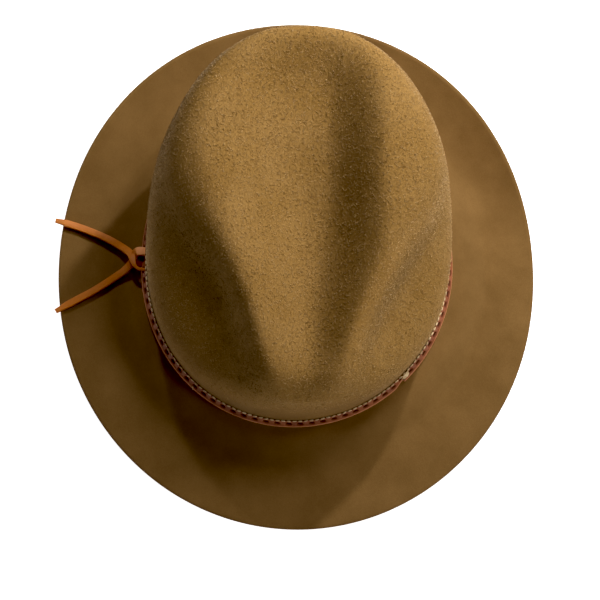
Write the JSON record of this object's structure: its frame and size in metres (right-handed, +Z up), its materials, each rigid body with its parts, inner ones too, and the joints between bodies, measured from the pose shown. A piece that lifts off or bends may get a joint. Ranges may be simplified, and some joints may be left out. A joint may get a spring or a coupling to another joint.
{
  "type": "fedora",
  "caption": "Felt fedora with a teardrop crown, pinched front, brim level in front and rolled up behind, a stitched leather strap round the crown and a leather lace tied at the side.",
  "frame": {"origin": "on the surface that the brim rests on, under the middle of the brim", "axes": "+X to the wearer's left, +Y from the front of the hat to its back, +Z up"},
  "size_m": [0.2963, 0.3136, 0.1288],
  "materials": {
    "felt": "brushed olive-brown wool felt",
    "strap_leather": "smooth reddish-brown leather with cream stitches",
    "lace_leather": "square-cut tan leather lace"
  },
  "bodies": {
    "root": {"felt_body": "felt", "hat_band": "strap_leather", "tie_knot": "lace_leather", "tie_end_rear": "lace_leather", "tie_end_front": "lace_leather"}
  },
  "joints": []
}
